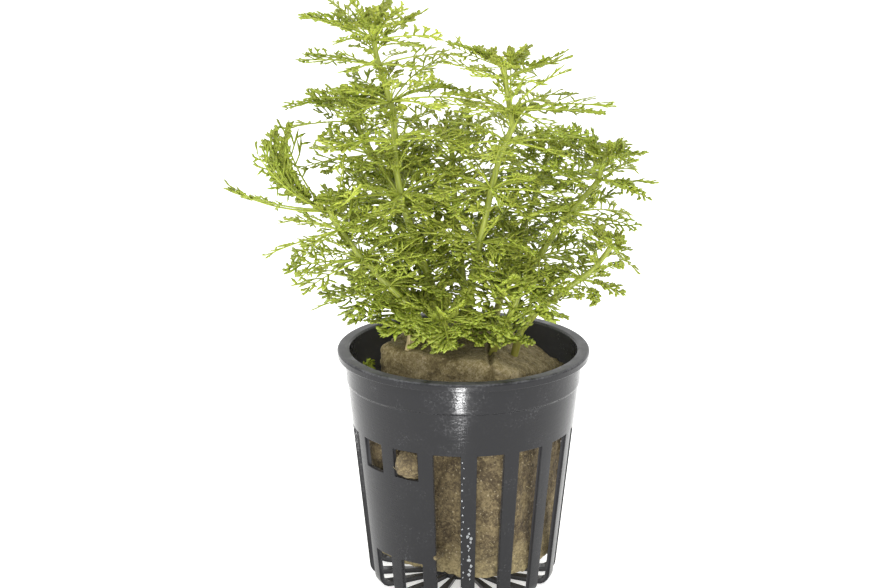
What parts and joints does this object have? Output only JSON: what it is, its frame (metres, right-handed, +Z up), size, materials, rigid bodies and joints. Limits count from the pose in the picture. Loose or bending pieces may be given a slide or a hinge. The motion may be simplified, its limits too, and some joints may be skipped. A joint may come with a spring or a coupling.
{
  "type": "giant ambulia in a net pot",
  "caption": "Bunch of cut shoots with whorls of finely divided, fern-like leaves, rooted in a block of rock wool that stands in a slotted black plastic net pot.",
  "frame": {"origin": "centre of the pot's underside, on the surface that it stands on", "axes": "+Z is up, along the pot's axis; -Y is towards the camera of the picture, and +X is to its right"},
  "size_m": [0.0859, 0.0579, 0.1193],
  "materials": {
    "pot_plastic": "satin",
    "rock_wool": "matte",
    "stem_green": "satin",
    "leaf_green": "satin",
    "dry_straw": "matte",
    "torn_leaf_green": "matte"
  },
  "bodies": {
    "root": {"dry_stem_stub": "dry_straw", "leaf_whorl_back_left_1": "leaf_green", "leaf_whorl_back_left_2": "leaf_green", "leaf_whorl_back_left_3": "leaf_green", "leaf_whorl_back_right_1": "leaf_green", "leaf_whorl_back_right_2": "leaf_green", "leaf_whorl_back_right_3": "leaf_green", "leaf_whorl_back_right_4": "leaf_green", "leaf_whorl_front_1": "leaf_green", "leaf_whorl_front_2": "leaf_green", "leaf_whorl_front_right_1": "leaf_green", "leaf_whorl_front_right_2": "leaf_green", "leaf_whorl_front_right_3": "leaf_green", "leaf_whorl_left_1": "leaf_green", "leaf_whorl_left_2": "leaf_green", "leaf_whorl_left_3": "leaf_green", "leaf_whorl_left_4": "leaf_green", "leaf_whorl_low_left_1": "leaf_green", "leaf_whorl_low_left_2": "leaf_green", "leaf_whorl_low_right_1": "leaf_green", "leaf_whorl_low_right_2": "leaf_green", "leaf_whorl_middle_1": "leaf_green", "leaf_whorl_middle_2": "leaf_green", "leaf_whorl_middle_3": "leaf_green", "leaf_whorl_middle_4": "leaf_green", "leaf_whorl_right_1": "leaf_green", "leaf_whorl_right_2": "leaf_green", "leaf_whorl_right_3": "leaf_green", "leaf_whorl_right_4": "leaf_green", "leaf_whorl_tall_left_1": "leaf_green", "leaf_whorl_tall_left_2": "leaf_green", "leaf_whorl_tall_left_3": "leaf_green", "leaf_whorl_tall_left_4": "leaf_green", "leaf_whorl_tall_left_5": "leaf_green", "leaf_whorl_tall_left_6": "leaf_green", "leaf_whorl_tall_right_1": "leaf_green", "leaf_whorl_tall_right_2": "leaf_green", "leaf_whorl_tall_right_3": "leaf_green", "leaf_whorl_tall_right_4": "leaf_green", "leaf_whorl_tall_right_5": "leaf_green", "leaf_whorl_tall_right_6": "leaf_green", "leaf_whorl_upper_left_1": "leaf_green", "leaf_whorl_upper_left_2": "leaf_green", "leaf_whorl_upper_left_3": "leaf_green", "leaf_whorl_upper_left_4": "leaf_green", "net_pot": "pot_plastic", "rock_wool_plug": "rock_wool", "stem_back_left": "stem_green", "stem_back_right": "stem_green", "stem_front": "stem_green", "stem_front_right": "stem_green", "stem_left": "stem_green", "stem_low_left": "stem_green", "stem_low_right": "stem_green", "stem_middle": "stem_green", "stem_right": "stem_green", "stem_tall_left": "stem_green", "stem_tall_right": "stem_green", "stem_upper_left": "stem_green", "stray_leaf": "torn_leaf_green"}
  },
  "joints": []
}
